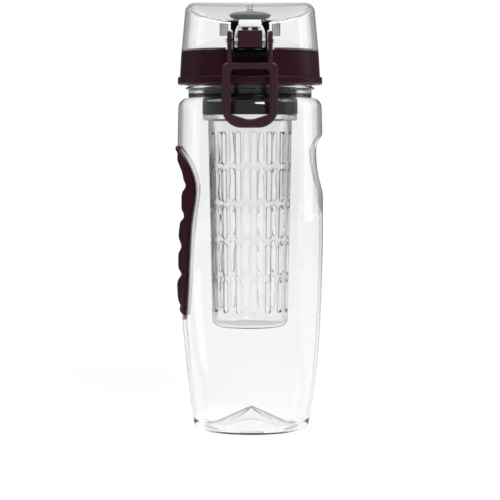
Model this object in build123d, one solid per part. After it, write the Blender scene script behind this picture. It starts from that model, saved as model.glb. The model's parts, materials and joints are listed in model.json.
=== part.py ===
"""Fruit infuser water bottle: clear bottle, soft side grip, screw lid with a flip dome and lock loop,
and a slotted infuser that screws up into the lid. Millimetres, +Z up, origin under the base's centre.
The latch and loop face -Y, the grip is at -X and the thumb pinch at +X."""
from build123d import *
import math
import os

os.makedirs("parts", exist_ok=True)

# Shared values
overrun = 1.0
bottle_wall = 1.6
soft_gap = 0.3
part_gap = 0.2
side_gap = 0.15
running_gap = 0.05

# Bottle outside: heights and radii of the turned shape
belly_radius = 44.5
belly_height = 122.0
foot_inset = 9.0
foot_side_radius = belly_radius - foot_inset
foot_corner_width = 5.0
foot_outer_radius = foot_side_radius - foot_corner_width
foot_land_width = 4.0
foot_inner_radius = foot_outer_radius - foot_land_width
foot_round_height = 5.5
push_up_height = 12.0
shoulder_inset = 0.9
shoulder_radius = belly_radius - shoulder_inset
shoulder_height = 197.0
neck_inset = 6.2
neck_radius = shoulder_radius - neck_inset
neck_wall = 2.0
neck_root_height = shoulder_height + neck_inset
bead_projection = 1.9
bead_radius = neck_radius + bead_projection
bead_rise = 4.0
bead_height = neck_root_height + bead_rise
bead_thickness = 1.8

# Thumb pinch at +X: two round scoops that meet at its waist
pinch_drop = 28.2
pinch_waist_height = shoulder_height - pinch_drop
pinch_depth = 4.8
pinch_waist_offset = belly_radius - pinch_depth
pinch_upper_radius = 13.5
pinch_lower_radius = 62.0
pinch_edge_round = 4.0

# Seat of the grip at -X: its edge's heights as shares of the shoulder height, its distance from the axis
# as shares of the belly radius
seat_height_shares = [0.3589, 0.4569, 0.5584, 0.6599, 0.7563, 0.8198, 0.8756]
seat_offset_shares = [0.8899, 0.8539, 0.8292, 0.7955, 0.7528, 0.8427, 1.0067]

# Grip, in the same shares: notches between finger lobes, and the flared lip at the top
grip_proud = 0.5
grip_notch_height_shares = [0.3848, 0.4853, 0.5685, 0.6635, 0.7523]
grip_notch_offset_shares = [0.9551, 0.9461, 0.9506, 0.9101, 0.8831]
grip_lobe_offset_shares = [1.009, 1.0022, 0.9933, 0.9528]
grip_tail_offset_share = 0.9281
grip_rise_height_share = 0.7746
grip_rise_offset_share = 0.9191
grip_upper_height_share = 0.8036
grip_upper_offset_share = 0.9506
grip_crest_height_share = 0.835
grip_crest_offset_share = 1.0067
grip_lip_height_share = 0.866
grip_lip_offset_share = 1.0404

# Neck thread, with the lid's matching ridge under it
neck_pitch = 4.8
thread_turns = 1.25
thread_height = 1.2
thread_root_width = 2.0
thread_crest_width = 1.0
thread_flank_gap = 0.35
thread_crest_gap = 0.35
thread_sink = 0.4
thread_start_angle = 20.0
thread_start_drop = 10.2

# Lid: black core and burgundy band round it
core_bore_radius = neck_radius + thread_height + thread_crest_gap
core_wall = 1.3
core_radius = core_bore_radius + core_wall
band_wall = 2.25
band_low_radius = core_radius + band_wall
band_taper = 0.9
band_top_radius = band_low_radius - band_taper
flange_projection = 1.3
flange_radius = band_low_radius + flange_projection
flange_rise = 2.2
flange_bottom = bead_height + flange_rise
flange_thickness = 4.6
flange_top = flange_bottom + flange_thickness
flange_round = 1.0
band_height = 15.2
band_top = flange_top + band_height
core_bottom = flange_bottom + overrun
deck_thickness = 2.6
deck_bottom = band_top - deck_thickness
gasket_width = 3.0
gasket_thickness = 2.4
neck_top = deck_bottom - gasket_thickness - 2 * soft_gap
thread_start_height = neck_top - thread_start_drop

# Skirt under the deck, which the infuser screws into
skirt_clearance = 6.6
skirt_radius = neck_radius - neck_wall - skirt_clearance
skirt_wall = 2.4
skirt_bore_radius = skirt_radius - skirt_wall
skirt_length = 26.0
skirt_bottom = deck_bottom - skirt_length

# Spout and vent valve in the deck
spout_flange_share = 0.5
spout_flange_radius = skirt_bore_radius * spout_flange_share
spout_flange_width = 2.6
spout_radius = spout_flange_radius - spout_flange_width
spout_taper = 0.9
spout_rim_radius = spout_radius - spout_taper
spout_wall = 1.6
spout_neck_radius = spout_radius - part_gap * 3
spout_bore_radius = spout_neck_radius - spout_wall
spout_flange_thickness = 1.4
spout_neck_length = 5.0
spout_rim_round = 0.6
vent_inset = 5.4
vent_offset = skirt_bore_radius - vent_inset
vent_head_radius = 3.0
vent_head_thickness = 1.0
vent_stem_radius = 1.4
vent_foot_radius = 2.2
vent_foot_length = 1.6

# Dome
dome_wall = 1.8
dome_bottom = band_top + part_gap
dome_side_height = 23.6
dome_taper = 2.2
dome_corner = 6.0
dome_facet_inset = 1.9
dome_slope_degrees = 20.0
dome_edge_round = 1.6
dome_high_radius = band_top_radius - dome_taper
dome_high_height = dome_bottom + dome_side_height
dome_top = dome_high_height + dome_corner
dome_facet_offset = dome_high_radius - dome_facet_inset
seal_drop = 5.3
seal_overlap = 2.15
seal_radius = spout_radius + seal_overlap
seal_thickness = 2.6
seal_plug_height = 1.0
seal_rim = 1.15
socket_radius = seal_radius - seal_rim
socket_wall = 1.5
seal_top = dome_top - seal_drop
seal_bottom = seal_top - seal_thickness
spout_top = seal_bottom - soft_gap

# Lip on the lid that the dome closes over
lip_gap = 0.4
lip_radius = band_top_radius - dome_wall - lip_gap
lip_thickness = 1.2
lip_height = 1.4

# Dome hinge at the back
hinge_projection = 3.4
hinge_offset = band_top_radius + hinge_projection
hinge_rise = 1.4
hinge_height = band_top + hinge_rise
hinge_pin_radius = 1.2
knuckle_radius = 3.0
dome_knuckle_inner = 4.0
dome_knuckle_width = 4.0
dome_knuckle_outer = dome_knuckle_inner + dome_knuckle_width
lid_knuckle_width = 3.0
dome_arm_height = 4.6
lid_lug_drop = 8.5
dome_spring_radius = 1.9
dome_spring_wire_radius = 0.4
dome_spring_pitch = 1.3
dome_spring_quarters = 15
dome_spring_leg = 6.2
dome_spring_foot = 4.4
spring_notch_width = 2.4

# Dome's latch tab, round the button: places across X, and up and out from the through pin
pivot_projection = 3.8
pivot_offset = band_low_radius + pivot_projection
pivot_rise = 5.3
pivot_height = band_top + pivot_rise
pivot_pin_radius = 0.9
pin_head_radius = 1.6
pin_head_thickness = 0.8
tab_half_width = 9.0
tab_top_taper = 1.4
tab_top_half_width = tab_half_width - tab_top_taper
tab_leg_width = 1.85
tab_leg_inner = tab_half_width - tab_leg_width
tab_drop = 4.3
tab_bottom = pivot_height - tab_drop
tab_plate_rise = 2.5
tab_plate_bottom = pivot_height + tab_plate_rise
tab_lintel_rise = 6.5
tab_lintel_bottom = pivot_height + tab_lintel_rise
tab_lintel_height = 5.4
tab_top = tab_lintel_bottom + tab_lintel_height
tab_setback = 1.7
tab_front_offset = pivot_offset - tab_setback
tab_lintel_projection = 1.0
tab_lintel_front_offset = tab_front_offset + tab_lintel_projection
tab_thickness = 1.8
tab_slot_play = 0.2
dome_facet_rise = 1.1
dome_slope_start = dome_facet_offset - (dome_top - tab_top - dome_facet_rise) / math.tan(
    math.radians(dome_slope_degrees))

# Latch tower and button on the through pin
ear_inner = tab_half_width + side_gap
ear_thickness = 1.2
ear_cap_thickness = 2.15
ear_boss_radius = 2.2
ear_cap_setback = 2.4
ear_step_offset = pivot_offset - ear_cap_setback
ear_cap_depth = 5.9
ear_back_offset = ear_step_offset - ear_cap_depth
ear_top = tab_top - tab_setback / 4
ear_cap_height = 5.4
ear_step_height = ear_top - ear_cap_height
tower_floor_rise = 1.6
tower_floor_top = band_top - tower_floor_rise
tower_floor_thickness = 3.2
tower_floor_bottom = tower_floor_top - tower_floor_thickness
tower_projection = 1.3
tower_front_offset = pivot_offset + tower_projection
tower_half_width = ear_inner + ear_thickness
post_half_width = 2.4
post_setback = 2.6
post_front_offset = pivot_offset - post_setback
post_thickness = 2.6
post_rise = 1.9
post_top = pivot_height + post_rise
button_half_width = tab_leg_inner - side_gap
button_drop = 4.1
button_bottom = pivot_height - button_drop
button_rise = 5.6
button_top = pivot_height + button_rise
button_projection = 2.4
button_front_offset = pivot_offset + button_projection
button_wall = 0.9
button_boss_radius = 1.8
button_boss_inner = 3.0
button_edge_round = 0.5
hook_offset = 2.7
hook_width = 3.4
hook_thickness = 1.1
hook_reach = 1.1
hook_tip_offset = tab_front_offset - hook_reach
tab_slot_width = hook_width + 2 * tab_slot_play
button_spring_radius = 1.23
button_spring_wire_radius = 0.18
button_spring_pitch = 0.8
button_spring_quarters = 14
button_spring_leg = 3.0

# Lock and carry loop: its crossbar swings up over the tab's top
loop_half_thickness = 2.0
loop_arm_inner = tower_half_width + side_gap
loop_arm_width = 2.8
loop_arm_outer = loop_arm_inner + loop_arm_width
loop_arm_top = pivot_height + pivot_rise
loop_arm_round = 1.3
loop_shoulder = 3.2
loop_ring_half_width = loop_arm_outer + loop_shoulder
loop_lock_gap = 1.2
loop_ring_top = pivot_height - (tab_top - pivot_height) - loop_lock_gap
loop_ring_height = 38.0
loop_ring_bottom = loop_ring_top - loop_ring_height
loop_ring_round = 3.4
loop_bottom_round = 11.6
loop_side_width = 5.2
loop_hole_half_width = loop_ring_half_width - loop_side_width
loop_crossbar_height = 3.8
loop_hole_top = loop_ring_top - loop_crossbar_height
loop_hole_side_height = 26.2
loop_hole_corner_height = loop_hole_top - loop_hole_side_height
loop_hole_tip_drop = 3.6
loop_hole_tip_height = loop_hole_corner_height - loop_hole_tip_drop
loop_hole_round = 2.6
loop_bevel = 0.9

# Infuser: ring that screws into the skirt, and the basket that snaps into it
infuser_seal_thickness = 1.0
infuser_seal_width = 1.9
ring_projection = 0.1
ring_radius = skirt_radius + ring_projection
ring_top = skirt_bottom - infuser_seal_thickness - 2 * soft_gap
ring_height = 7.6
ring_bottom = ring_top - ring_height
infuser_pitch = 4.0
infuser_thread_turns = 1.0
infuser_thread_height = 1.1
infuser_thread_root_width = 1.7
infuser_thread_crest_width = 0.9
infuser_crest_gap = 0.4
ring_neck_radius = skirt_bore_radius - infuser_thread_height - infuser_crest_gap
ring_neck_wall = 2.1
ring_bore_radius = ring_neck_radius - ring_neck_wall
ring_neck_height = 9.6
ring_neck_top = ring_top + ring_neck_height
infuser_thread_rise = 4.3
infuser_thread_start_height = ring_top + infuser_thread_rise
basket_wall = 1.5
spigot_step = 2.7
basket_top_radius = ring_bore_radius + spigot_step
basket_taper = 2.4
basket_bottom_radius = basket_top_radius - basket_taper
basket_flange_radius = ring_radius - soft_gap
basket_flange_thickness = 3.4
basket_flange_top = ring_bottom - part_gap
basket_flange_bottom = basket_flange_top - basket_flange_thickness
basket_length = 125.2
basket_bottom = basket_flange_bottom - basket_length
basket_corner = 4.5
basket_spigot_length = 4.4
slot_count = 16
slot_rows = 5
slot_head = 6.9
slot_top = basket_flange_bottom - slot_head
slot_foot = 2.15
slot_row_pitch = (slot_top - basket_bottom - basket_corner - slot_foot) / slot_rows
slot_bridge = 2.83
slot_height = slot_row_pitch - slot_bridge
slot_width = 3.3
slot_first_angle = -84.4

# How far cutting shapes reach past the part
reach = 2 * belly_radius


def turned(face):
    """The solid that a face in X and Z makes when turned about the Z axis."""
    return revolve(Plane.XZ * face, Axis.Z)


def disc(radius, bottom, top):
    return Pos(0, 0, bottom) * Cylinder(radius, top - bottom, align=(Align.CENTER, Align.CENTER, Align.MIN))


def ring(inner, outer, bottom, top):
    return disc(outer, bottom, top) - disc(inner, bottom - overrun, top + overrun)


def block(x_low, x_high, y_low, y_high, z_low, z_high):
    corner = Pos(x_low, y_low, z_low)
    return corner * Box(x_high - x_low, y_high - y_low, z_high - z_low, align=(Align.MIN,) * 3)


def cross_rod(radius, x_low, x_high, y, z):
    """A rod along X."""
    rod = Cylinder(radius, x_high - x_low, align=(Align.CENTER, Align.CENTER, Align.MIN))
    return Pos(x_low, y, z) * Rot(0, 90, 0) * rod


def side_plate(face, x_low, x_high):
    """A face drawn in Y and Z, made solid from x_low to x_high."""
    return extrude(Plane.YZ.offset(x_low) * face, x_high - x_low)


def front_plate(face, y_low, y_high):
    """A face drawn in X and Z, made solid from y_low to y_high."""
    return extrude(Plane.XZ.offset(-y_high) * face, y_high - y_low)


def both_sides(shape):
    return shape + mirror(shape, Plane.YZ)


def save(shape, name):
    shape.label = name
    export_step(shape, f"parts/{name}.step")
    print(name, len(shape.solids()), round(shape.volume, 1))


def helical_ridge(root_radius, crest_radius, root_width, crest_width, pitch, turns, height, angle):
    """A thread ridge of trapezoid section. Its root is sunk a little into the wall that carries it."""
    outward = 1 if crest_radius > root_radius else -1
    sunk_radius = root_radius - outward * thread_sink
    section = Polygon(
        (sunk_radius, height - root_width / 2),
        (crest_radius, height - crest_width / 2),
        (crest_radius, height + crest_width / 2),
        (sunk_radius, height + root_width / 2),
        align=None,
    )
    path = Helix(pitch, pitch * turns, root_radius, center=(0, 0, height))
    return Rot(0, 0, angle) * sweep(Plane.XZ * section, path=path, is_frenet=True)


def coil_point(angle, radius, pitch, start_angle, x_start, y, z):
    """A point on a coil that winds along X, and the direction of travel there."""
    travelled = start_angle - angle
    point = Vector(
        x_start + pitch * travelled / (2 * math.pi),
        y + radius * math.cos(angle),
        z + radius * math.sin(angle),
    )
    direction = Vector(pitch / (2 * math.pi), radius * math.sin(angle), -radius * math.cos(angle))
    return point, direction.normalized()


def torsion_spring(name, radius, wire_radius, pitch, quarters, first_leg, last_leg, y, z):
    """One wire: a straight leg, a coil along X of quarter turns, each of two tangent arcs, and a leg."""
    x_start = -pitch * quarters / 8
    stops = [coil_point(math.pi - step * math.pi / 2, radius, pitch, math.pi, x_start, y, z)
             for step in range(quarters + 1)]
    first_point, first_way = stops[0]
    leg_start = first_point - first_way * first_leg
    edges = [Line(leg_start, first_point)]
    middles = []
    for (start, way), (end, end_way) in zip(stops, stops[1:]):
        chord = end - start
        both = way + end_way
        spread = 2 * (1 - way.dot(end_way))
        tangent = (math.sqrt(chord.dot(both) ** 2 + spread * chord.dot(chord)) - chord.dot(both)) / spread
        joint = (start + end + (way - end_way) * tangent) * 0.5
        joint_way = (end - start - (way + end_way) * tangent).normalized()
        edges.append(Edge.make_tangent_arc(start, way, joint))
        edges.append(Edge.make_tangent_arc(joint, joint_way, end))
        middles.append(joint)
    last_point, last_way = stops[-1]
    edges.append(Line(last_point, last_point + last_way * last_leg))
    path = Wire([edge if isinstance(edge, Edge) else edge.edge() for edge in edges])
    section = Plane(origin=leg_start, z_dir=first_way) * Circle(wire_radius)
    gaps = [(one - other).length - 2 * wire_radius
            for place, one in enumerate(middles) for other in middles[place + 4:]]
    print(name, "least gap to itself", round(min(gaps), 2))
    return sweep(section, path=path)


def bottle_profile(inset, top):
    """Half of the bottle's turned shape in X and Z, drawn inset from its outside."""
    neck = neck_radius - (neck_wall if inset > 0 else inset)
    belly = (belly_radius - inset, belly_height)
    shoulder = (shoulder_radius - inset, shoulder_height)
    shoulder_top = neck_root_height - inset
    foot_side = (foot_side_radius - inset, foot_round_height)
    foot_outer = (foot_outer_radius, inset)
    foot_inner = (foot_inner_radius, inset)
    edges = [
        Line((0, push_up_height + inset), foot_inner),
        Line(foot_inner, foot_outer),
        TangentArc(foot_outer, foot_side, tangent=(1, 0)),
        TangentArc(belly, foot_side, tangent=(0, -1)),
        TangentArc(belly, shoulder, tangent=(0, 1)),
        TangentArc(shoulder, (neck, shoulder_top), tangent=(0, 1)),
        Line((neck, shoulder_top), (neck, top)),
        Line((neck, top), (0, top)),
        Line((0, top), (0, push_up_height + inset)),
    ]
    return make_face(edges)


def seat_line(inset):
    """The grip seat's edge in X and Z, from bottom to top."""
    points = [(inset - belly_radius * offset, shoulder_height * height)
              for offset, height in zip(seat_offset_shares, seat_height_shares)]
    return Spline(points)


def seat_cut(inset):
    """What the seat takes from the bottle's side."""
    line = seat_line(inset)
    low = line @ 0
    high = line @ 1
    low_out = (-reach, low.Y - inset)
    edges = [
        line,
        Line(high, (-reach, high.Y)),
        Line((-reach, high.Y), low_out),
        Line(low_out, (low.X, low.Y - inset)),
    ]
    if inset > 0:
        edges.append(Line((low.X, low.Y - inset), low))
    return front_plate(make_face(edges), -reach, reach)


def pinch_cut(inset):
    """The thumb scoop: a tight round above its waist and a long one below."""
    parts = []
    for radius, side in ((pinch_upper_radius, 1), (pinch_lower_radius, -1)):
        whole = Pos(pinch_waist_offset + radius, 0, pinch_waist_height) * Rot(90, 0, 0) * Cylinder(
            radius + inset, 2 * reach)
        half = Pos(0, 0, pinch_waist_height + side * reach / 2) * Box(4 * reach, 4 * reach, reach)
        parts.append(whole & half)
    return parts[0] + parts[1]


def bottle_solid(inset, top):
    shape = turned(bottle_profile(inset, top)) - pinch_cut(inset)
    scoop_edges = [edge for edge in shape.edges()
                   if edge.center().X > pinch_waist_offset - inset and edge.center().Z > belly_height
                   and edge.center().Z < shoulder_height - pinch_edge_round
                   and abs(edge.bounding_box().size.Y) > pinch_edge_round]
    shape = fillet(scoop_edges, pinch_edge_round)
    return shape - seat_cut(inset)


def bottle_body():
    outside = bottle_solid(0, neck_top)
    inside = bottle_solid(bottle_wall, neck_top + overrun)
    thread = helical_ridge(neck_radius, neck_radius + thread_height, thread_root_width,
                           thread_crest_width, neck_pitch, thread_turns, thread_start_height,
                           thread_start_angle)
    root = neck_radius - neck_wall / 2
    low = bead_height - bead_thickness / 2
    high = bead_height + bead_thickness / 2
    bead = turned(make_face([
        ThreePointArc((neck_radius, low), (bead_radius, bead_height), (neck_radius, high)),
        Polyline((neck_radius, high), (root, high), (root, low), (neck_radius, low)),
    ]))
    return outside - inside + bead + thread


def side_grip():
    notches = [(-belly_radius * offset, shoulder_height * height)
               for offset, height in zip(grip_notch_offset_shares, grip_notch_height_shares)]
    line = seat_line(0)
    tail = (-belly_radius * grip_tail_offset_share, (line @ 0).Y)
    rise = (-belly_radius * grip_rise_offset_share, shoulder_height * grip_rise_height_share)
    upper = (-belly_radius * grip_upper_offset_share, shoulder_height * grip_upper_height_share)
    crest = (-belly_radius * grip_crest_offset_share, shoulder_height * grip_crest_height_share)
    lip_radius_out = belly_radius * grip_lip_offset_share
    lip = (-lip_radius_out, shoulder_height * grip_lip_height_share)
    edges = [line, Line(line @ 0, tail), Line(tail, notches[0])]
    for low, high, offset in zip(notches, notches[1:], grip_lobe_offset_shares):
        edges.append(ThreePointArc(low, (-belly_radius * offset, (low[1] + high[1]) / 2), high))
    edges.append(ThreePointArc(notches[-1], rise, upper))
    edges.append(Line(upper, crest))
    edges.append(Line(crest, lip))
    edges.append(Line(lip, line @ 1))
    pad = front_plate(make_face(edges), -reach, reach)
    limit = turned(bottle_profile(-grip_proud, neck_top))
    flare = Pos(0, 0, upper[1]) * Cone(
        belly_radius, lip_radius_out, lip[1] - upper[1], align=(Align.CENTER, Align.CENTER, Align.MIN))
    return pad & (limit + flare + disc(lip_radius_out, lip[1], (line @ 1).Y))


def neck_gasket():
    outer = core_bore_radius - soft_gap
    return ring(outer - gasket_width, outer, neck_top + soft_gap, neck_top + soft_gap + gasket_thickness)


def lid_band():
    """The burgundy ring round the lid, notched for the latch tower and the hinge spring's foot."""
    profile = make_face(Polyline(
        (core_radius, flange_bottom), (flange_radius, flange_bottom), (flange_radius, flange_top),
        (band_low_radius, flange_top + part_gap), (band_top_radius, band_top), (core_radius, band_top),
        close=True))
    corners = [corner for corner in profile.vertices() if corner.X > band_low_radius + part_gap]
    shape = turned(fillet(corners, flange_round))
    lip = ring(core_bore_radius, core_radius, flange_bottom, core_bottom)
    notch_half = tower_half_width + ear_cap_thickness / 2
    notch = block(-notch_half, notch_half, -reach, 0, tower_floor_bottom - part_gap, band_top + overrun)
    notch_low = notch.edges().filter_by(Axis.Y).group_by(Axis.Z)[0]
    shape = shape + lip - fillet(notch_low, flange_round * 2)
    lug = make_hull(
        (Pos(hinge_offset, hinge_height) * Circle(knuckle_radius)).edges()
        + (Pos(core_radius, hinge_height - lid_lug_drop) * Rectangle(
            part_gap, knuckle_radius, align=(Align.MIN, Align.MIN))).edges())
    lug_inner = dome_knuckle_outer + part_gap
    lugs = both_sides(side_plate(lug, lug_inner, lug_inner + lid_knuckle_width))
    lugs = lugs - disc(core_radius, flange_bottom, dome_top)
    lugs = lugs - (disc(band_top_radius + part_gap, band_top, dome_top))
    bore = cross_rod(hinge_pin_radius, -reach, reach, hinge_offset, hinge_height)
    return shape + lugs - bore - spring_notch()


def spring_notch():
    """Room in the band's top edge for the leg that lifts the dome."""
    foot_x = dome_spring_pitch * dome_spring_quarters / 8
    half = spring_notch_width / 2
    low = hinge_height - dome_spring_radius - spring_notch_width / 2
    return block(foot_x - half, foot_x + half, core_radius, hinge_offset, low, band_top + overrun)


def latch_ears():
    """Two ears that carry the through pin, each with a thicker cap beside the tab's top."""
    outline = make_face([
        Line((-ear_back_offset, tower_floor_bottom), (-ear_back_offset, ear_step_height)),
        Line((-ear_back_offset, ear_step_height), (-ear_step_offset, ear_step_height)),
        Line((-ear_step_offset, ear_step_height),
             (-pivot_offset - ear_boss_radius, pivot_height)),
        Line((-pivot_offset - ear_boss_radius, pivot_height), (-tower_front_offset, tower_floor_bottom)),
        Line((-tower_front_offset, tower_floor_bottom), (-ear_back_offset, tower_floor_bottom)),
    ])
    boss = Pos(-pivot_offset, pivot_height) * Circle(ear_boss_radius)
    thin = side_plate(outline + boss, ear_inner, ear_inner + ear_thickness)
    cap = block(ear_inner, ear_inner + ear_cap_thickness, -ear_step_offset, -ear_back_offset,
                ear_step_height, ear_top)
    cap_edges = cap.edges().filter_by(Axis.X).group_by(Axis.Z)[-1]
    return both_sides(thin + fillet(cap_edges, ear_thickness))


def lid_core():
    """The black inside of the lid: deck, thread wall and latch tower."""
    shape = disc(core_radius, core_bottom, band_top)
    shape = shape - disc(core_bore_radius, core_bottom - overrun, deck_bottom)
    shape = shape - disc(spout_neck_radius, deck_bottom - overrun, band_top + overrun)
    vent_hole = disc(vent_stem_radius, deck_bottom - overrun, band_top + overrun)
    shape = shape - Pos(0, vent_offset, 0) * vent_hole
    lip = ring(lip_radius - lip_thickness, lip_radius, deck_bottom + deck_thickness / 2, band_top + lip_height)
    facet_inside = dome_facet_offset - dome_wall - part_gap
    shape = shape + (lip - block(-reach, reach, -reach, -facet_inside, flange_bottom, dome_top))
    floor = block(-tower_half_width, tower_half_width, -tower_front_offset, -ear_back_offset,
                  tower_floor_bottom, tower_floor_top)
    floor = fillet(floor.edges().filter_by(Axis.Z).group_by(Axis.Y)[0], flange_round)
    post = block(-post_half_width, post_half_width, -post_front_offset,
                 post_thickness - post_front_offset, tower_floor_bottom, post_top)
    tower = floor + post + latch_ears() - disc(core_radius - lip_thickness, flange_bottom, band_top)
    bore = cross_rod(pivot_pin_radius, -reach, reach, -pivot_offset, pivot_height)
    low_start = thread_start_height - thread_root_width / 2 - thread_crest_width / 2 - thread_flank_gap
    ridge = helical_ridge(core_bore_radius, neck_radius + thread_crest_gap, thread_root_width,
                          thread_crest_width, neck_pitch, thread_turns, low_start, thread_start_angle)
    return shape + tower + ridge - bore


def infuser_skirt():
    """The tube under the deck that the infuser screws up into: its ridge carries the ring's."""
    shape = ring(skirt_bore_radius, skirt_radius, skirt_bottom, deck_bottom)
    start = infuser_thread_start_height - (
        infuser_thread_root_width + infuser_thread_crest_width) / 2 - thread_flank_gap
    ridge = helical_ridge(skirt_bore_radius, ring_neck_radius + infuser_crest_gap,
                          infuser_thread_root_width, infuser_thread_crest_width, infuser_pitch,
                          infuser_thread_turns, start, thread_start_angle)
    return shape + ridge


def drinking_spout():
    profile = make_face(Polyline(
        (spout_bore_radius, deck_bottom - spout_neck_length),
        (spout_neck_radius, deck_bottom - spout_neck_length),
        (spout_neck_radius, band_top), (spout_flange_radius, band_top),
        (spout_flange_radius, band_top + spout_flange_thickness),
        (spout_radius, band_top + spout_flange_thickness), (spout_rim_radius, spout_top),
        (spout_bore_radius, spout_top), close=True))
    rim = [corner for corner in profile.vertices() if corner.Y > spout_top - part_gap]
    return turned(fillet(rim, spout_rim_round))


def vent_valve():
    foot_top = deck_bottom
    head = disc(vent_head_radius, band_top, band_top + vent_head_thickness)
    stem = disc(vent_stem_radius, foot_top, band_top)
    foot = disc(vent_foot_radius, foot_top - vent_foot_length, foot_top)
    return Pos(0, vent_offset, 0) * (head + stem + foot)


def dome_solid(inset):
    """The dome's outside, or a shape inset from it, before its front edges are rounded."""
    low = (band_top_radius - inset, dome_bottom)
    high = (dome_high_radius - inset, dome_high_height)
    top = dome_top - inset
    flat = (dome_high_radius - dome_corner, top)
    profile = make_face([
        Line((0, dome_bottom), low),
        Line(low, high),
        TangentArc(flat, high, tangent=(1, 0)),
        Line(flat, (0, top)),
        Line((0, top), (0, dome_bottom)),
    ])
    shape = turned(profile)
    shape = shape - block(-reach, reach, -reach, inset - dome_facet_offset, 0, reach + dome_top)
    above = Box(2 * reach, 2 * reach, reach, align=(Align.CENTER, Align.CENTER, Align.MIN))
    slope = Pos(0, -dome_slope_start, dome_top) * Rot(dome_slope_degrees, 0, 0) * Pos(0, 0, -inset)
    return shape - slope * above


def dome_shell(inset):
    shape = dome_solid(inset)
    rounded = [edge for edge in shape.edges()
               if edge.center().Y < -dome_slope_start / 2 and edge.center().Z > dome_bottom + dome_corner
               and edge.bounding_box().max.Y < -dome_slope_start / 2]
    return fillet(rounded, dome_edge_round)


def latch_tab():
    """The clear tab at the dome's front: a lintel, a plate with two slots, and a leg each side."""
    arch = make_face([
        Line((-tab_half_width, tab_bottom), (tab_half_width, tab_bottom)),
        ThreePointArc((tab_half_width, tab_bottom), (tab_half_width, pivot_height),
                      (tab_top_half_width, tab_top)),
        Line((tab_top_half_width, tab_top), (-tab_top_half_width, tab_top)),
        ThreePointArc((-tab_top_half_width, tab_top), (-tab_half_width, pivot_height),
                      (-tab_half_width, tab_bottom)),
    ])
    plate = front_plate(arch, -tab_front_offset, tab_thickness - tab_front_offset)
    lintel = front_plate(arch, -tab_lintel_front_offset, dome_wall / 2 - dome_facet_offset)
    lintel = lintel & block(-reach, reach, -reach, 0, tab_lintel_bottom, tab_top)
    legs_only = block(-tab_leg_inner, tab_leg_inner, -reach, 0, 0, tab_plate_bottom)
    shape = plate - legs_only + lintel
    for side in (-1, 1):
        middle = side * hook_offset
        slot_bottom = button_top - hook_thickness - part_gap
        shape = shape - block(middle - tab_slot_width / 2, middle + tab_slot_width / 2,
                              -tab_front_offset - overrun, tab_thickness - tab_front_offset + part_gap,
                              slot_bottom, tab_lintel_bottom)
    return shape


def dome_lid():
    inside = dome_shell(dome_wall)
    inside = inside + disc(band_top_radius - dome_wall, band_top - overrun, dome_bottom) - block(
        -reach, reach, -reach, dome_wall - dome_facet_offset, 0, dome_bottom)
    shell = dome_shell(0) - inside
    socket = ring(socket_radius - socket_wall, socket_radius, seal_top, dome_top) & dome_solid(dome_wall / 2)
    knuckle = make_hull(
        (Pos(hinge_offset, hinge_height) * Circle(knuckle_radius)).edges()
        + (Pos(dome_high_radius, dome_bottom) * Rectangle(
            part_gap, dome_arm_height, align=(Align.MIN, Align.MIN))).edges())
    knuckles = both_sides(side_plate(knuckle, dome_knuckle_inner, dome_knuckle_outer)) - inside
    lower = disc(band_top_radius + part_gap, flange_bottom, dome_bottom)
    bore = cross_rod(hinge_pin_radius + running_gap, -reach, reach, hinge_offset, hinge_height)
    return shell + socket + (knuckles - lower) + latch_tab() - bore


def spout_seal():
    plug_radius = socket_radius - socket_wall
    return disc(seal_radius, seal_bottom, seal_top) + disc(plug_radius, seal_top, seal_top + seal_plug_height)


def hinge_pin():
    half = dome_knuckle_outer + part_gap + lid_knuckle_width
    return cross_rod(hinge_pin_radius, -half, half, hinge_offset, hinge_height)


def hinge_spring():
    return torsion_spring("hinge_spring", dome_spring_radius, dome_spring_wire_radius, dome_spring_pitch,
                          dome_spring_quarters, dome_spring_leg, dome_spring_foot,
                          hinge_offset, hinge_height)


def latch_pin():
    """The pin that the button and the loop turn on, with a head outside each arm."""
    head_start = loop_arm_outer + part_gap / 2
    rod = cross_rod(pivot_pin_radius, -head_start, head_start, -pivot_offset, pivot_height)
    head = cross_rod(pin_head_radius, head_start, head_start + pin_head_thickness,
                     -pivot_offset, pivot_height)
    head = fillet(head.edges().filter_by(GeomType.CIRCLE).group_by(Axis.X)[-1], pin_head_thickness / 2)
    return rod + both_sides(head)


def latch_button():
    """A rocker on the through pin: its low half is pressed in and its hooks swing out of the tab."""
    height = button_top - button_bottom
    front = Pos(0, -button_front_offset, button_bottom) * Box(
        2 * button_half_width, button_front_offset - tab_front_offset - part_gap, height,
        align=(Align.CENTER, Align.MIN, Align.MIN))
    front = fillet(front.faces().sort_by(Axis.Y)[0].edges(), button_edge_round)
    hollow = block(-button_boss_inner, button_boss_inner, button_wall - button_front_offset, 0,
                   button_bottom + button_wall, button_top - button_wall - hook_thickness)
    bosses = both_sides(cross_rod(button_boss_radius, button_boss_inner, button_half_width,
                                  -pivot_offset, pivot_height))
    shape = front - hollow + bosses
    for side in (-1, 1):
        middle = side * hook_offset
        shape = shape + block(middle - hook_width / 2, middle + hook_width / 2,
                              button_wall - button_front_offset, -hook_tip_offset,
                              button_top - hook_thickness, button_top)
    return shape - cross_rod(pivot_pin_radius + running_gap, -reach, reach, -pivot_offset, pivot_height)


def button_spring():
    return torsion_spring("button_spring", button_spring_radius, button_spring_wire_radius,
                          button_spring_pitch, button_spring_quarters, button_spring_leg,
                          button_spring_leg, -pivot_offset, pivot_height)


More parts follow.
